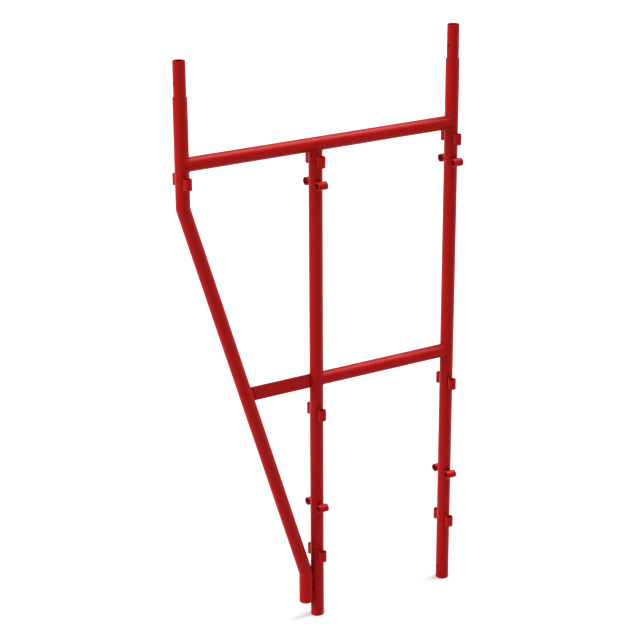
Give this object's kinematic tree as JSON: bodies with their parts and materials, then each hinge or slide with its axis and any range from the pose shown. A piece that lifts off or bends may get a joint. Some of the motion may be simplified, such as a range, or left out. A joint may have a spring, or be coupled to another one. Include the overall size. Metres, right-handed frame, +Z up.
{
  "type": "scaffold frame section",
  "caption": "Welded tube frame for a facade scaffold that starts narrow and widens upwards, with a bent standard, transoms, spigots and short pipe sockets for rails and braces.",
  "frame": {"origin": "on the ground, midway between the axes of the straight and the bent standard, in the plane of the frame", "axes": "+X across the scaffold, from the bent to the straight standard; +Y along the scaffold; +Z up along the standards"},
  "size_m": [1.0982, 0.1066, 2.12],
  "materials": {
    "tube_paint": "satin red paint",
    "spigot_paint": "satin red paint, a little scuffed",
    "bar_paint": "satin red paint",
    "socket_paint": "satin red paint"
  },
  "bodies": {
    "root": {"straight_standard": "tube_paint", "middle_standard": "tube_paint", "bent_standard": "tube_paint", "straight_spigot": "spigot_paint", "bent_spigot": "spigot_paint", "top_transom": "tube_paint", "low_transom": "tube_paint", "tie_bar": "bar_paint", "straight_rail_socket_top_front": "socket_paint", "straight_rail_socket_top_back": "socket_paint", "straight_rail_socket_mid_front": "socket_paint", "straight_rail_socket_mid_back": "socket_paint", "straight_rail_socket_low_front": "socket_paint", "straight_rail_socket_low_back": "socket_paint", "middle_rail_socket_top_front": "socket_paint", "middle_rail_socket_top_back": "socket_paint", "middle_rail_socket_mid_front": "socket_paint", "middle_rail_socket_mid_back": "socket_paint", "middle_rail_socket_low_front": "socket_paint", "middle_rail_socket_low_back": "socket_paint", "bent_rail_socket_top_front": "socket_paint", "bent_rail_socket_top_back": "socket_paint", "straight_brace_socket_top_front": "socket_paint", "straight_brace_socket_top_back": "socket_paint", "straight_brace_socket_low_front": "socket_paint", "straight_brace_socket_low_back": "socket_paint", "middle_brace_socket_top_front": "socket_paint", "middle_brace_socket_top_back": "socket_paint", "middle_brace_socket_low_front": "socket_paint", "middle_brace_socket_low_back": "socket_paint"}
  },
  "joints": []
}
